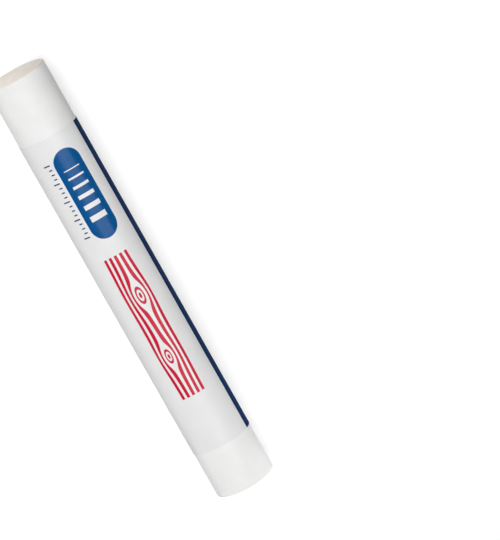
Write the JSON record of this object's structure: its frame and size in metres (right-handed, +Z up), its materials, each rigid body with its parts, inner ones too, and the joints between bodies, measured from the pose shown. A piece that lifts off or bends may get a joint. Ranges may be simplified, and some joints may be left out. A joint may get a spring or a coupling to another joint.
{
  "type": "putty stick",
  "caption": "Round stick of white wax filler putty with a paper label rolled round its middle and bare ends, for filling nail holes and scratches in finished wood.",
  "frame": {"origin": "on the plane that the stick lies on, under the middle of its length", "axes": "+X along the stick, the way the label reads; +Y towards the label's stripe; +Z up, out of the printed front"},
  "size_m": [0.0952, 0.013, 0.0129],
  "materials": {
    "wax": "satin white wax putty",
    "adhesive": "milky pressure-sensitive adhesive",
    "label_paper": "semi-gloss coated paper, printed"
  },
  "bodies": {
    "root": {"wax_stick": "wax", "label_adhesive": "adhesive", "paper_label": "label_paper"}
  },
  "joints": []
}
